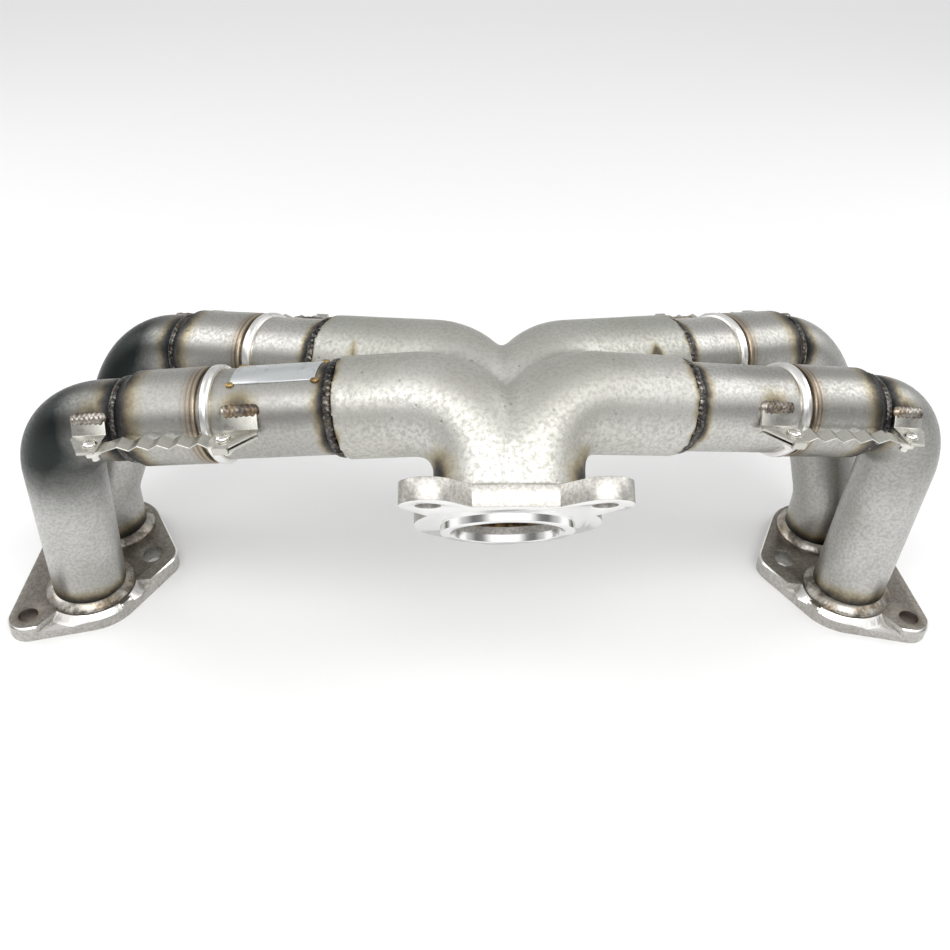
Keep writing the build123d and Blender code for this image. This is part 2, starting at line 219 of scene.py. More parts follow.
def from_point(tree, place, point):
    return add(tree, "ShaderNodeVectorMath", {0: place, 1: tuple(point)}, operation="SUBTRACT").outputs[0]


def span(tree, vector):
    """The length of a vector, in mm."""
    length = add(tree, "ShaderNodeVectorMath", {0: vector}, operation="LENGTH").outputs["Value"]
    return reckon(tree, "MULTIPLY", length, TO_MM)


def share_along(tree, vector, direction):
    """How far a vector reaches along a direction, in metres."""
    return add(tree, "ShaderNodeVectorMath", {0: vector, 1: tuple(direction)},
               operation="DOT_PRODUCT").outputs["Value"]


def only_x(tree, value):
    """A vector for a pattern that changes with one value."""
    return add(tree, "ShaderNodeCombineXYZ", {"X": value}).outputs[0]


OWN_TUBE = 36.0    # mm from a ring weld's centre; farther surfaces belong to another tube


def away(tree, place, source):
    """Distance in mm from a heat source: a ring weld, (point, direction), or a spot, (point,)."""
    offset = from_point(tree, place, source[0])
    distance = span(tree, offset)
    if len(source) == 1:
        return distance
    along = reckon(tree, "MULTIPLY", share_along(tree, offset, source[1]), TO_MM)
    beyond = reckon(tree, "MAXIMUM", reckon(tree, "SUBTRACT", distance, OWN_TUBE), 0.0)
    return reckon(tree, "ADD", reckon(tree, "ABSOLUTE", along), beyond)


def heat_of(tree, place, sources, wander):
    """The heat that a surface has seen, 0 to 1, from (reach in mm, strength, source) triples."""
    total = None
    for reach, strength, source in sources:
        distance = reckon(tree, "ADD", away(tree, place, source), wander)
        one = fade(tree, distance, 0.0, reach, strength, 0.0)
        total = one if total is None else reckon(tree, "MAXIMUM", total, one)
    return total


def wander_of(tree, place, size_mm, reach_mm):
    """A distance in mm, up to reach_mm either way, that makes the edge of a film uneven."""
    return fade(tree, grain(tree, place, size_mm), 0.3, 0.7, -reach_mm, reach_mm)


def mix(tree, share, first, second, blend="MIX"):
    return add(tree, "ShaderNodeMix", {"Factor": share, "A": first, "B": second},
               data_type="RGBA", blend_type=blend).outputs["Result"]


def temper(tree, heat, clean, dark):
    """The colours that stainless steel takes as it heats, from clean metal to grey-black scale."""
    ramp = add(tree, "ShaderNodeValToRGB", {"Fac": heat})
    set_stops(ramp, [(0.0, linear("#ffffff")), (0.18, linear("#f0eada")), (0.34, linear("#d6cab2")),
                     (0.48, linear("#a59a88")), (0.62, linear("#77736e")), (0.74, linear("#5b5c5e")),
                     (0.86, dark), (1.0, linear("#242527"))])
    return mix(tree, 1.0, clean, ramp.outputs["Color"], "MULTIPLY")


def raised(tree, height, strength, depth_mm):
    """The normal of a surface roughened by a height pattern."""
    return add(tree, "ShaderNodeBump", {
        "Height": height, "Strength": strength, "Distance": depth_mm * MM}).outputs["Normal"]


def output(tree, colour, roughness, normal):
    """Finish a bare metal."""
    shader = add(tree, "ShaderNodeBsdfPrincipled", {
        "Base Color": colour, "Metallic": 1.0, "Roughness": roughness, "Normal": normal})
    add(tree, "ShaderNodeOutputMaterial", {"Surface": shader.outputs["BSDF"]})


def blasted_stainless(name, tone, heats=(), films=(), grooves=None):
    """Drawn stainless tube, bead blasted: a satin grey with a fine grain, straw to grey-black heat
    tint beside its welds, soft oxide films where the heat stayed longer, and turned grooves at a
    mouth. The blasted grain is drawn a little coarser than the real one, so that it shows."""
    settings = bpy.context.scene.manifold_finish
    material, tree, place = start(name)
    specks = grain(tree, place, 0.8, 2.0, 0.6)
    patches = grain(tree, place, 30, 2.0, 0.5)
    wander = wander_of(tree, place, 9, 1.6)
    clean = mix(tree, fade(tree, patches, 0.35, 0.65), linear(tone), linear("#b0afaa"))
    clean = mix(tree, fade(tree, specks, 0.35, 0.68, 0.0, 0.34), clean, linear("#807e7a"))
    colour = clean
    roughness = fade(tree, specks, 0.3, 0.7, 0.31, 0.45)
    if heats:
        heat = heat_of(tree, place, heats, wander)
        colour = temper(tree, heat, clean, tuple(settings.oxide_colour))
        roughness = reckon(tree, "ADD", roughness, fade(tree, heat, 0.5, 1.0, 0.0, 0.12))
    if films:
        film = heat_of(tree, place, films, wander)
        colour = mix(tree, film, colour, linear("#2c3130"))
    if grooves:
        near = heat_of(tree, place, [(9, 1.0, grooves)], 0.0)
        line = grain(tree, only_x(tree, share_along(tree, place, grooves[1])), 1.2, 1.0)
        hollow = fade(tree, line, 0.45, 0.58, 0.0, 0.8)
        colour = mix(tree, reckon(tree, "MULTIPLY", near, 0.7), colour, linear("#a08c70"))
        colour = mix(tree, reckon(tree, "MULTIPLY", near, hollow), colour, linear("#4d4238"))
    output(tree, colour, roughness, raised(tree, specks, 0.14, 0.25))
    return material


def cast_stainless():
    """Investment-cast stainless, blasted: a light, softly uneven skin with small pits, drawn greyer to the
    rear as painted shade, with painted brown-grey shade in the corners above the flange."""
    material, tree, place = start("cast_stainless_collector")
    specks = grain(tree, place, 1.0, 3.0, 0.65)
    lumps = grain(tree, place, 30, 2.0, 0.5)
    cells = add(tree, "ShaderNodeTexVoronoi", {"Vector": place, "Scale": TO_MM / 8, "Randomness": 1.0})
    pits = fade(tree, cells.outputs["Distance"], 0.04, 0.13, 1.0, 0.0)
    flange = mount("outlet_bore")
    facing = Vector(flange["axis"])
    upwards = facing.cross(Vector((1, 0, 0)))
    seat = Vector(flange["pos_m"]) - facing * 14 * MM
    # Painted shade: brown-grey darkening in the two corners above the flange, drawn with the heat colours.
    corner_shade = [(21, 0.95, (seat + upwards * 20 * MM + Vector((across * MM, 0, 0)),))
                    for across in (-31, 31)]
    mouth_films = [(6, 0.6, (line.mouth_weld, line.out)) for line in lines.values()]
    heat_and_corner_shade = heat_of(tree, place, corner_shade + mouth_films, wander_of(tree, place, 8, 2.5))
    clean = mix(tree, fade(tree, lumps, 0.35, 0.65), linear("#d0cfca"), linear("#c3c2ba"))
    clean = mix(tree, fade(tree, specks, 0.38, 0.66, 0.0, 0.36), clean, linear("#8f8d85"))
    clean = mix(tree, reckon(tree, "MULTIPLY", pits, 0.4), clean, linear("#57544e"))
    # Painted shade: the casting is drawn darker and greener towards the rear.
    back = add(tree, "ShaderNodeSeparateXYZ", {"Vector": place}).outputs["Y"]
    clean = mix(tree, fade(tree, back, -30 * MM, 40 * MM, 0.0, 0.45), clean, linear("#979a8f"))
    # The heat colours carry the real tint beside the mouth welds and the painted shade in the corners.
    colour = temper(tree, heat_and_corner_shade, clean, linear("#55524e"))
    height = reckon(tree, "SUBTRACT", specks, reckon(tree, "MULTIPLY", pits, 0.8))
    output(tree, colour, fade(tree, specks, 0.3, 0.7, 0.42, 0.58), raised(tree, height, 0.3, 0.4))
    return material


def weld_metal(name, tone, dark, straw):
    """Laid-down weld metal: bright ripples, grey-brown scale in their hollows and straw patches."""
    material, tree, place = start(name)
    patches = grain(tree, place, 5, 3.0, 0.6)
    specks = grain(tree, place, 0.9, 3.0, 0.7)
    colour = mix(tree, fade(tree, patches, 0.4, 0.62), linear(tone), linear(dark))
    colour = mix(tree, fade(tree, grain(tree, place, 7, 2.0, 0.5), 0.5, 0.7, 0.0, straw), colour,
                 linear("#a98c5f"))
    colour = mix(tree, fade(tree, specks, 0.5, 0.75, 0.0, 0.5), colour, linear("#c9c6c0"))
    output(tree, colour, fade(tree, patches, 0.3, 0.7, 0.3, 0.5), raised(tree, specks, 0.3, 0.2))
    return material


def bright_steel(name, tone, rough, line_mm=0.7, across=None, scratch=0.12):
    """Turned or sheared stainless left bright: fine tool lines, a few darker marks. The lines run
    square to the across direction, or in all directions where there is none."""
    material, tree, place = start(name)
    stretched = only_x(tree, share_along(tree, place, across)) if across else place
    tool = grain(tree, stretched, line_mm, 3.0, 0.7)
    marks = grain(tree, place, 3, 3.0, 0.6)
    colour = mix(tree, fade(tree, marks, 0.55, 0.75, 0.0, 0.35), linear(tone), linear("#8b8780"))
    roughness = fade(tree, tool, 0.3, 0.7, rough - 0.04, rough + 0.08)
    output(tree, colour, roughness, raised(tree, tool, scratch, 0.1))
    return material


def head_flange_plate(bank):
    """Cut stainless plate, blasted on top, with bright machined chamfers and clearance cuts, brown
    film round the ports and rust round the stud holes."""
    material, tree, place = start(f"milled_stainless_flange_{bank}")
    facing = add(tree, "ShaderNodeTexCoord").outputs["Normal"]
    up = add(tree, "ShaderNodeSeparateXYZ", {"Vector": facing}).outputs["Z"]
    level = add(tree, "ShaderNodeSeparateXYZ", {"Vector": place}).outputs["Z"]
    specks = grain(tree, place, 0.9, 4.0, 0.7)
    top = mix(tree, fade(tree, specks, 0.35, 0.7), linear("#9c978f"), linear("#7c776f"))
    chamfered = reckon(tree, "MULTIPLY", fade(tree, up, 0.35, 0.5), fade(tree, up, 0.9, 0.97, 1.0, 0.0))
    below_top = fade(tree, level, 8.6 * MM, 9.2 * MM, 1.0, 0.0)
    lowered = reckon(tree, "MULTIPLY", fade(tree, up, 0.9, 0.97), below_top)
    cut = reckon(tree, "MAXIMUM", chamfered, lowered)
    side = mix(tree, fade(tree, specks, 0.35, 0.7), linear("#c9c7c3"), linear("#aaa7a1"))
    colour = mix(tree, fade(tree, up, 0.6, 0.9), side, top)
    colour = mix(tree, cut, colour, linear("#efedea"))
    spots = [(11.0, 1.6, (hole,)) for hole in stud_places(bank)]
    rust = heat_of(tree, place, spots, fade(tree, specks, 0.3, 0.7, -0.9, 0.9))
    colour = mix(tree, reckon(tree, "MULTIPLY", rust, 0.8), colour, linear("#5f4534"))
    heats = [(38, 1.4, (lines[runner].port,)) for runner in RUNNERS if bank_of(runner) == bank]
    heat = heat_of(tree, place, heats, wander_of(tree, place, 6, 2.0))
    colour = mix(tree, reckon(tree, "MULTIPLY", heat, 0.8), colour, linear("#5f564d"))
    roughness = fade(tree, cut, 0.0, 1.0, 0.44, 0.22)
    output(tree, colour, roughness, raised(tree, specks, 0.12, 0.2))
    return material


def stud_places(bank):
    """The end stud holes of one head flange, from its bolt pattern."""
    pattern = mount(f"{bank}_head_studs")
    half = Vector((0, pattern["dims"]["spacing_y_mm"] / 2 * MM, 0))
    return [Vector(pattern["pos_m"]) + half, Vector(pattern["pos_m"]) - half]


def outlet_flange_plate():
    """Cast plate with a face-milled mounting face: mirror bright on the face, blasted on its
    sides, straw and brown in the bore."""
    material, tree, place = start("face_milled_stainless_outlet")
    flange = mount("outlet_bore")
    facing, centre = Vector(flange["axis"]), Vector(flange["pos_m"])
    offset = from_point(tree, place, centre)
    height = reckon(tree, "MULTIPLY", share_along(tree, offset, facing), TO_MM)
    squared = reckon(tree, "SUBTRACT", reckon(tree, "POWER", span(tree, offset), 2.0),
                     reckon(tree, "POWER", height, 2.0))
    radius = reckon(tree, "SQRT", reckon(tree, "MAXIMUM", squared, 0.0))
    specks = grain(tree, place, 0.7, 3.0, 0.6)
    blasted = mix(tree, fade(tree, specks, 0.35, 0.7), linear("#cfcdc8"), linear("#aeaaa3"))
    face = reckon(tree, "GREATER_THAN", height, -0.12)
    rings = grain(tree, only_x(tree, radius), 0.0012, 2.0, 0.5)
    milled = mix(tree, fade(tree, rings, 0.3, 0.7, 0.0, 0.2), linear("#f4f4f3"), linear("#d9d8d6"))
    bore = reckon(tree, "LESS_THAN", radius, flange["dims"]["r_mm"] - 0.05)
    burnt = mix(tree, fade(tree, grain(tree, place, 4), 0.4, 0.62), linear("#7d6540"), linear("#33291f"))
    colour = mix(tree, face, blasted, milled)
    colour = mix(tree, bore, colour, burnt)
    roughness = reckon(tree, "MAXIMUM", fade(tree, face, 0.0, 1.0, 0.42, 0.14),
                       reckon(tree, "MULTIPLY", bore, 0.5))
    output(tree, colour, roughness, raised(tree, specks, 0.05, 0.1))
    return material


# ---- mesh helpers ------------------------------------------------------------------
def merged(node):
    """A bmesh copy of a CAD node with its triangles joined and its flat faces whole."""
    bm = bmesh.new()
    bm.from_mesh(frame["nodes"][node].data)
    bmesh.ops.remove_doubles(bm, verts=bm.verts, dist=0.002 * MM)
    bmesh.ops.dissolve_limit(bm, angle_limit=math.radians(0.6), verts=bm.verts, edges=bm.edges,
                             use_dissolve_boundaries=False)
    return bm


def place_piece(bm, name, body, material, nodes=(), smooth=35):
    """Turn a finished bmesh into a piece that rides on a body and stands for CAD nodes."""
    mesh = bpy.data.meshes.new(name)
    bm.to_mesh(mesh)
    bm.free()
    mesh.shade_smooth()
    mesh.set_sharp_from_angle(angle=math.radians(smooth))
    mesh.materials.append(material)
    piece = bpy.data.objects.new(name, mesh)
    bpy.context.scene.collection.objects.link(piece)
    if nodes:
        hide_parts(*nodes)
    if body:
        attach(piece, body)
    return piece


def round_edges(bm, width, sharper=40, segments=2):
    """Bevel the edges that are sharper than an angle in degrees."""
    sharp = [e for e in bm.edges if e.is_manifold and e.calc_face_angle(0) > math.radians(sharper)]
    bmesh.ops.bevel(bm, geom=sharp, offset=width, offset_type="OFFSET", affect="EDGES",
                    segments=segments, profile=0.5, material=-1, clamp_overlap=True)


def rounded_copy(node, name, body, material, width):
    """A CAD node with its edges rounded, as a piece that stands for it."""
    bm = merged(node)
    round_edges(bm, width)
    return place_piece(bm, name, body, material, (node,))


def paint(node, material):
    """Give a CAD node its finish."""
    slots = frame["nodes"][node].data.materials
    slots.clear()
    slots.append(material)


def axis_frame(centre, direction):
    """The matrix that takes the Z axis to a line through a place."""
    turned = direction.to_track_quat("Z", "Y").to_matrix().to_4x4()
    return Matrix.Translation(centre) @ turned


def ring_bead(centre, direction, outline, ripples, lift, ragged, seed, steps=200):
    """A weld bead round a tube, spun from its (along, radius) outline in mm and rippled."""
    bm = bmesh.new()
    points = [bm.verts.new((radius * MM, 0, along * MM)) for along, radius in outline]
    edges = [bm.edges.new(pair) for pair in zip(points, points[1:] + points[:1])]
    bmesh.ops.spin(bm, geom=points + edges, cent=(0, 0, 0), axis=(0, 0, 1), dvec=(0, 0, 0),
                   angle=2 * math.pi, steps=steps, use_merge=True, use_duplicate=False)
    bmesh.ops.recalc_face_normals(bm, faces=bm.faces)
    alongs = [along for along, _ in outline]
    half = (max(alongs) - min(alongs)) / 2 * MM
    centre_along = (max(alongs) + min(alongs)) / 2 * MM
    inner = min(radius for _, radius in outline) * MM
    outer = max(radius for _, radius in outline) * MM
    for v in bm.verts:
        angle = math.atan2(v.co.y, v.co.x)
        reach = math.hypot(v.co.x, v.co.y)
        share = (reach - inner) / (outer - inner)
        across = (v.co.z - centre_along) / half
        phase = angle / (2 * math.pi) * ripples + 0.45 * across ** 2
        crest = 1 - abs(2 * (phase % 1) - 1)
        uneven = noise.noise(Vector((math.cos(angle) * 4, math.sin(angle) * 4, seed)))
        edge = 1 if across > 0 else -1
        radial = Vector((v.co.x, v.co.y, 0)).normalized()
        v.co += radial * share * (lift * MM * (crest - 0.5) + 0.3 * lift * MM * uneven)
        v.co.z += ragged * MM * uneven * share + ragged * MM * 0.6 * (crest - 0.5) * edge
    bmesh.ops.transform(bm, matrix=axis_frame(centre, direction), verts=bm.verts)
    return bm


def crown(width, tube_radius, height, points=8):
    """Outline of a crowned bead: (along, radius) in mm, its foot a little under the tube's skin."""
    arch = [(width * (i / points - 0.5), tube_radius + height * math.sin(math.pi * i / points) ** 0.6)
            for i in range(points + 1)]
    return [(-width / 2, tube_radius - 0.5)] + arch + [(width / 2, tube_radius - 0.5)]


def add_rows(bm, rows):
    """Join several bmeshes into one."""
    for other in rows:
        mesh = bpy.data.meshes.new("joined")
        other.to_mesh(mesh)
        other.free()
        bm.from_mesh(mesh)
        bpy.data.meshes.remove(mesh)
    return bm


def islands(node):
    """The separate solids of a CAD node, as lists of points."""
    bm = merged(node)
    left, found = set(bm.verts), []
    while left:
        stack, group = [left.pop()], []
        while stack:
            v = stack.pop()
            group.append(v.co.copy())
            for e in v.link_edges:
                other = e.other_vert(v)
                if other in left:
                    left.discard(other)
                    stack.append(other)
        found.append(group)
    bm.free()
    return found


def reaching(node, inwards):
    """A part of the casting with its inner end drawn out, so that it overlaps the core."""
    bm = merged(node)
    centre = middle([v.co for v in bm.verts])
    for v in bm.verts:
        if (v.co - centre).dot(inwards) > 0:
            v.co += inwards * 0.6 * MM
    return bm


def nearest_line(point):
    """The runner whose straight stretch passes closest to a point, and the foot on its axis."""
    best = None
    for runner, line in lines.items():
        foot = line.ring + line.out * (point - line.ring).dot(line.out)
        distance = (point - foot).length
        if best is None or distance < best[0]:
            best = (distance, runner, foot)
    return best[1], best[2]


def stacked_bead(centre, outwards, along, length, wide, high, seed, pitch):
    """A short fillet bead of overlapping drops, half sunk in the tube."""
    bm = bmesh.new()
    bmesh.ops.create_uvsphere(bm, u_segments=28, v_segments=60, radius=1.0)
    across = outwards.cross(along).normalized()
    turn = Matrix((across, outwards, along)).transposed().to_4x4()
    for v in bm.verts:
        place = v.co.z * length / 2
        body = min(1.0, ((1 - abs(v.co.z)) * 5) ** 0.5)
        around = math.atan2(v.co.y, v.co.x)
        drop = (place / pitch + 0.42 * math.sin(around) ** 2) % 1
        swell = 0.86 + 0.2 * math.sin(math.pi * drop) ** 0.6
        uneven = 1 + 0.12 * noise.noise(Vector((place * 400, around, seed)))
        reach = body * swell * uneven
        v.co = Vector((math.cos(around) * wide * reach, math.sin(around) * high * reach, place))
    bmesh.ops.transform(bm, matrix=Matrix.Translation(centre) @ turn, verts=bm.verts)
    bmesh.ops.remove_doubles(bm, verts=bm.verts, dist=0.01 * MM)
    bmesh.ops.recalc_face_normals(bm, faces=bm.faces)
    return bm


# ---- operators ---------------------------------------------------------------------
class FinishOperator(bpy.types.Operator):
    """Common options of the operators"""
    bl_options = {"REGISTER", "UNDO"}


# The oxide film on the outside of each elbow: reach in mm, and strength.
SMOKED = {"front_left": (62, 1.5), "rear_left": (66, 1.7), "front_right": (60, 0.5), "rear_right": (60, 0.35)}
WELD_TO_BEND = 48 * MM    # from a sleeve's weld to the outside of the elbow


class MANIFOLD_OT_runners(FinishOperator):
    """Finish the elbow runners, inner tubes, sleeves and stop rings"""
    bl_idname = "manifold.runners"
    bl_label = "Runners and sleeves"

    def execute(self, context):
        for runner in RUNNERS:
            line = lines[runner]
            clips = [middle(group) for node in ("inner_clip_welds", f"outer_clip_welds_{bank_of(runner)}")
                     for group in islands(node) if nearest_line(middle(group))[0] == runner]
            spots = [(14, 0.6, (spot,)) for spot in clips]
            bend = line.end_weld + line.out * WELD_TO_BEND
            reach, strength = SMOKED[runner]
            paint(f"elbow_runner_{runner}", blasted_stainless(
                f"blasted_stainless_elbow_{runner}", "#c6c5c2",
                [(15, 0.97, (line.end_weld, line.out)), (14, 0.8, (line.port, PORT_AXIS))] + spots,
                [(reach, strength, (bend,))]))
            paint(f"inner_tube_{runner}", blasted_stainless(
                f"blasted_stainless_inner_tube_{runner}", "#cbcac6",
                [(9, 0.93, (line.mouth_weld, line.out)), (6, 0.3, (line.ring, line.out))] + spots))
            paint(f"slip_sleeve_{runner}", blasted_stainless(
                f"blasted_stainless_sleeve_{runner}", "#b9b8b3",
                [(20, 0.99, (line.end_weld, line.out))] + spots, grooves=(line.sleeve_mouth, line.out)))
            paint(f"stop_ring_{runner}", bright_steel(
                f"turned_stainless_ring_{runner}", "#efeeeb", 0.28, across=line.out))
        return {"FINISHED"}


class MANIFOLD_OT_casting(FinishOperator):
    """Make the cast collector with its branches blended into each other"""
    bl_idname = "manifold.casting"
    bl_label = "Cast collector"

    def execute(self, context):
        settings = context.scene.manifold_finish
        facing, face = Vector(mount("outlet_bore")["axis"]), Vector(mount("outlet_bore")["pos_m"])
        parts = [merged("collector_body"), reaching("collector_neck", -facing)]
        parts += [reaching(f"collector_branch_{runner}", -lines[runner].out) for runner in RUNNERS]
        bm = add_rows(bmesh.new(), parts)
        rough = bpy.data.meshes.new("rough_casting")
        bm.to_mesh(rough)
        bm.free()
        blank = bpy.data.objects.new("rough_casting", rough)
        context.scene.collection.objects.link(blank)
        remesh = blank.modifiers.new("even", "REMESH")
        remesh.mode = "VOXEL"
        remesh.voxel_size = settings.cast_voxel
        evaluated = blank.evaluated_get(context.evaluated_depsgraph_get())
        even = bpy.data.meshes.new_from_object(evaluated)
        bpy.data.objects.remove(blank)
        bm = bmesh.new()
        bm.from_mesh(even)
        inside = [v for v in bm.verts
                  if all((v.co - line.mouth_weld).dot(line.out) < -7 * MM for line in lines.values())
                  and (face - v.co).dot(facing) > 12 * MM]
        for _ in range(70):
            for factor in (0.62, -0.6):    # the second pass gives back the size that the first takes
                bmesh.ops.smooth_vert(bm, verts=inside, factor=factor, use_axis_x=True, use_axis_y=True,
                                      use_axis_z=True)
        place_piece(bm, "collector_casting", "collector", cast_stainless(),
                    CASTING, smooth=55)
        return {"FINISHED"}


class MANIFOLD_OT_flanges(FinishOperator):
    """Finish the two head flanges and the outlet flange"""
    bl_idname = "manifold.flanges"
    bl_label = "Flanges"

    def execute(self, context):
        width = context.scene.manifold_finish.edge_round
        for bank in BANKS:
            rounded_copy(f"head_flange_{bank}", f"head_flange_{bank}_finished", f"{bank}_bank",
                         head_flange_plate(bank), width)
        rounded_copy("outlet_flange", "outlet_flange_finished", "collector",
                     outlet_flange_plate(), width)
        return {"FINISHED"}


class MANIFOLD_OT_ring_welds(FinishOperator):
    """Lay the ring welds on the collector mouths, the sleeves and the ports"""
    bl_idname = "manifold.ring_welds"
    bl_label = "Ring welds"

    def execute(self, context):
        pitch = context.scene.manifold_finish.ripple_pitch / MM
        scale = weld_metal("scaled_weld_metal", "#54514e", "#2a2828", 0.12)
        bead = weld_metal("rippled_weld_metal", "#b3afa8", "#6a645c", 0.35)
        spigot, tube = 22.0, 20.65
        for i, runner in enumerate(RUNNERS):
            line, body = lines[runner], f"{bank_of(runner)}_bank"
            ripples = round(2 * math.pi * spigot / pitch)
            bm = ring_bead(line.mouth_weld, line.out, crown(4.6, spigot, 1.5), ripples, 0.3, 1.1, i)
            place_piece(bm, f"collector_bead_{runner}", "collector", scale,
                        (f"collector_weld_{runner}",))
            bm = ring_bead(line.end_weld, line.out, crown(3.6, tube, 1.1), ripples, 0.3, 0.3, 10 + i)
            place_piece(bm, f"sleeve_bead_{runner}", body, scale, (f"sleeve_weld_{runner}",))
            low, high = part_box(f"port_weld_{runner}")
            seat = Vector(((low.x + high.x) / 2, (low.y + high.y) / 2, low.z))
            radius = (high.x - low.x) / 2 / MM
            outline = [(0.0, tube - 1.3), (0.0, radius - 0.3), (1.4, radius - 0.3), (2.6, radius - 1.2),
                       (3.9, tube + 1.9), (5.0, tube + 0.6), (5.2, tube - 1.3)]
            bm = ring_bead(seat, PORT_AXIS, outline, round(2 * math.pi * radius / pitch),
                           0.28, 0.15, 20 + i)
            place_piece(bm, f"port_bead_{runner}", body, bead, (f"port_weld_{runner}",))
        return {"FINISHED"}


class MANIFOLD_OT_straps(FinishOperator):
    """Make the corrugated straps, their clips, screws, nuts and the clips' weld beads"""
    bl_idname = "manifold.straps"
    bl_label = "Straps and clips"

    def execute(self, context):
        width = context.scene.manifold_finish.edge_round
        pitch = context.scene.manifold_finish.ripple_pitch
        sheet = bright_steel("sheared_stainless_sheet", "#c6c5bd", 0.3, 0.9, scratch=0.1)
        steel = bright_steel("turned_stainless_screw", "#dddbd5", 0.2, 0.8, scratch=0.06)
        bead = weld_metal("laid_weld_metal", "#aca69e", "#5f564e", 0.4)
        for runner in RUNNERS:
            line, bank = lines[runner], f"{bank_of(runner)}_bank"
            inner = middle(corners(f"inner_clip_{runner}"))
            bm = merged(f"strap_{runner}")
            round_edges(bm, width * 0.5, 50, 1)
            strap = place_piece(bm, f"strap_{runner}_finished", None, sheet,
                                (f"strap_{runner}",), smooth=25)
            foot = line.ring + line.out * (inner - line.ring).dot(line.out)
            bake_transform(strap)
            rounded_copy(f"inner_clip_{runner}", f"inner_clip_{runner}_finished", "collector",
                         sheet, width)
            rounded_copy(f"outer_clip_{runner}", f"outer_clip_{runner}_finished", bank,
                         sheet, width)
        groups = [("inner_clip_welds", "inner_clip_screws", "inner_clip_nuts", "collector")]
        groups += [(f"outer_clip_welds_{b}", f"outer_clip_screws_{b}", f"outer_clip_nuts_{b}", f"{b}_bank")
                   for b in BANKS]
        for welds, screws, nuts, body in groups:
            rounded_copy(screws, f"{screws}_finished", body, steel, width)
            rounded_copy(nuts, f"{nuts}_finished", body, steel, width)
            beads = []
            for i, group in enumerate(islands(welds)):
                centre = middle(group)
                runner, foot = nearest_line(centre)
                along = lines[runner].out
                spread = [(p - centre).dot(along) for p in group]
                length = max(spread) - min(spread) + 3 * MM
                outwards = (centre - foot).normalized()
                beads.append(stacked_bead(centre - outwards * 0.5 * MM, outwards, along, length,
                                          3.1 * MM, 2.5 * MM, i, pitch))
            bm = add_rows(bmesh.new(), beads)
            place_piece(bm, f"{welds}_laid", body, bead, (welds,), smooth=60)
        return {"FINISHED"}


class MANIFOLD_OT_plate(FinishOperator):
    """Finish the blank identification plate and its tacks"""
    bl_idname = "manifold.plate"
    bl_label = "Identification plate"

    def execute(self, context):
        width = context.scene.manifold_finish.edge_round
        along = lines["front_left"].out
        plate = bright_steel("brushed_stainless_plate", "#dfe3e3", 0.3, 0.6, along, 0.08)
        tack = weld_metal("straw_tack_metal", "#b59a63", "#6b5334", 0.6)
        rounded_copy("id_plate", "id_plate_finished", "collector", plate, width * 0.5)
        bm = merged("id_plate_tacks")
        place_piece(bm, "id_plate_tacks_finished", "collector", tack, ("id_plate_tacks",), 60)
        return {"FINISHED"}


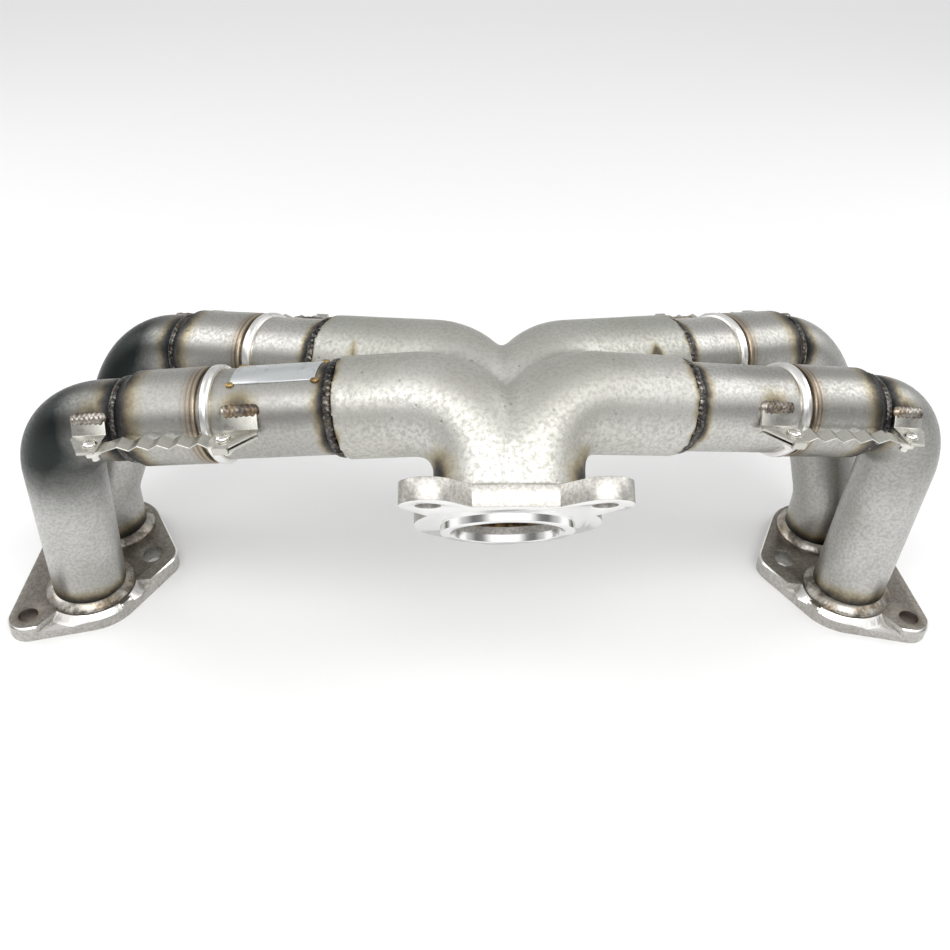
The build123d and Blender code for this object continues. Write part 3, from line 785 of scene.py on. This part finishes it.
class MANIFOLD_OT_studio(FinishOperator):
    """Make the pale floor, the soft lights and the camera"""
    bl_idname = "manifold.studio"
    bl_label = "Studio"

    def execute(self, context):
        scene, settings = context.scene, context.scene.manifold_studio
        scene.view_settings.view_transform = "Standard"
        self.make_floor(settings)
        self.make_world(scene)
        centre = (cad_box[0] + cad_box[1]) / 2
        self.soft_light("overhead_softbox", Vector((0.0, -0.62, 1.05)), centre, 1.5, 0.5, 7.5)
        self.soft_light("left_softbox", Vector((-1.2, 0.35, 0.8)), centre, 0.7, 0.7, 3.0)
        self.soft_light("right_softbox", Vector((1.2, 0.3, 0.8)), centre, 0.7, 0.7, 3.0)
        camera = bpy.data.objects.new("studio_camera", bpy.data.cameras.new("studio_camera"))
        scene.collection.objects.link(camera)
        place = Vector(settings.camera_place)
        look = Vector(settings.camera_aim) - place
        camera.rotation_mode = "QUATERNION"
        camera.location = place
        roll = Quaternion((0, 0, 1), settings.camera_roll)
        camera.rotation_quaternion = look.to_track_quat("-Z", "Y") @ roll
        camera.data.lens = settings.lens
        camera.data.sensor_width = 36
        camera.data.shift_x, camera.data.shift_y = 0.0154, 0.0105
        camera.data.clip_start, camera.data.clip_end = 0.01, 50
        scene.camera = camera
        return {"FINISHED"}

    def make_floor(self, settings):
        bm = bmesh.new()
        bmesh.ops.create_grid(bm, x_segments=1, y_segments=1, size=6)
        mesh = bpy.data.meshes.new("studio_floor")
        bm.to_mesh(mesh)
        bm.free()
        floor = bpy.data.objects.new("studio_floor", mesh)
        bpy.context.scene.collection.objects.link(floor)
        material, tree, place = start("matt_paper_floor")
        tint = mix(tree, fade(tree, grain(tree, place, 40), 0.3, 0.7, 0.0, 0.02),
                   tuple(settings.floor_colour), linear("#e9e9e9"))
        shader = add(tree, "ShaderNodeBsdfDiffuse", {"Color": tint})
        add(tree, "ShaderNodeOutputMaterial", {"Surface": shader.outputs["BSDF"]})
        mesh.materials.append(material)

    def make_world(self, scene):
        """A room that is brightest half way up in front, and dark at eye level in front."""
        world = bpy.data.worlds.new("studio_room")
        world.use_nodes = True
        tree = world.node_tree
        tree.nodes.clear()
        way = add(tree, "ShaderNodeTexCoord").outputs["Generated"]
        split = add(tree, "ShaderNodeSeparateXYZ", {"Vector": way})
        height = fade(tree, split.outputs["Z"], 0.0, 1.0)
        front = self.wall(tree, height, [(0.0, 0.5), (0.12, 0.14), (0.34, 0.2), (0.56, 1.1), (0.78, 1.15),
                                         (1.0, 0.55)])
        rear = self.wall(tree, height, [(0.0, 0.55), (0.3, 0.4), (0.6, 0.6), (1.0, 0.55)])
        share = fade(tree, split.outputs["Y"], -0.2, 0.35)
        colour = mix(tree, share, front, rear)
        glow = add(tree, "ShaderNodeBackground", {"Color": colour, "Strength": 1.2})
        add(tree, "ShaderNodeOutputWorld", {"Surface": glow.outputs["Background"]})
        scene.world = world

    def wall(self, tree, height, greys):
        """The room's brightness by height, from (height, grey) pairs."""
        ramp = add(tree, "ShaderNodeValToRGB", {"Fac": height})
        set_stops(ramp, [(position, (grey, grey, grey, 1)) for position, grey in greys])
        return ramp.outputs["Color"]

    def soft_light(self, name, place, aim, width, depth, power):
        light = bpy.data.lights.new(name, "AREA")
        light.shape = "RECTANGLE"
        light.size, light.size_y = width, depth
        light.energy = power
        lamp = bpy.data.objects.new(name, light)
        lamp.rotation_mode = "QUATERNION"
        lamp.location = place
        lamp.rotation_quaternion = (aim - place).to_track_quat("-Z", "Y")
        bpy.context.scene.collection.objects.link(lamp)


class MANIFOLD_PT_finish(bpy.types.Panel):
    """Lists the manifold's settings and operators"""
    bl_label = "Exhaust manifold"
    bl_idname = "MANIFOLD_PT_finish"
    bl_space_type = "VIEW_3D"
    bl_region_type = "UI"
    bl_category = "Manifold"

    def draw(self, context):
        for group in (context.scene.manifold_finish, context.scene.manifold_studio):
            for key in group.__annotations__:
                self.layout.prop(group, key)
        for operator in OPERATORS:
            self.layout.operator(operator.bl_idname)


OPERATORS = (MANIFOLD_OT_runners, MANIFOLD_OT_casting, MANIFOLD_OT_flanges, MANIFOLD_OT_ring_welds,
             MANIFOLD_OT_straps, MANIFOLD_OT_plate, MANIFOLD_OT_studio)
CLASSES = (FinishSettings, StudioSettings, *OPERATORS, MANIFOLD_PT_finish)


def register():
    for item in CLASSES:
        bpy.utils.register_class(item)
    bpy.types.Scene.manifold_finish = PointerProperty(type=FinishSettings)
    bpy.types.Scene.manifold_studio = PointerProperty(type=StudioSettings)


def unregister():
    del bpy.types.Scene.manifold_studio
    del bpy.types.Scene.manifold_finish
    for item in reversed(CLASSES):
        bpy.utils.unregister_class(item)


def main():
    register()
    bpy.ops.manifold.runners()
    bpy.ops.manifold.casting()
    bpy.ops.manifold.flanges()
    bpy.ops.manifold.ring_welds()
    bpy.ops.manifold.straps()
    bpy.ops.manifold.plate()
    bpy.ops.manifold.studio()


if __name__ == "__main__":
    main()
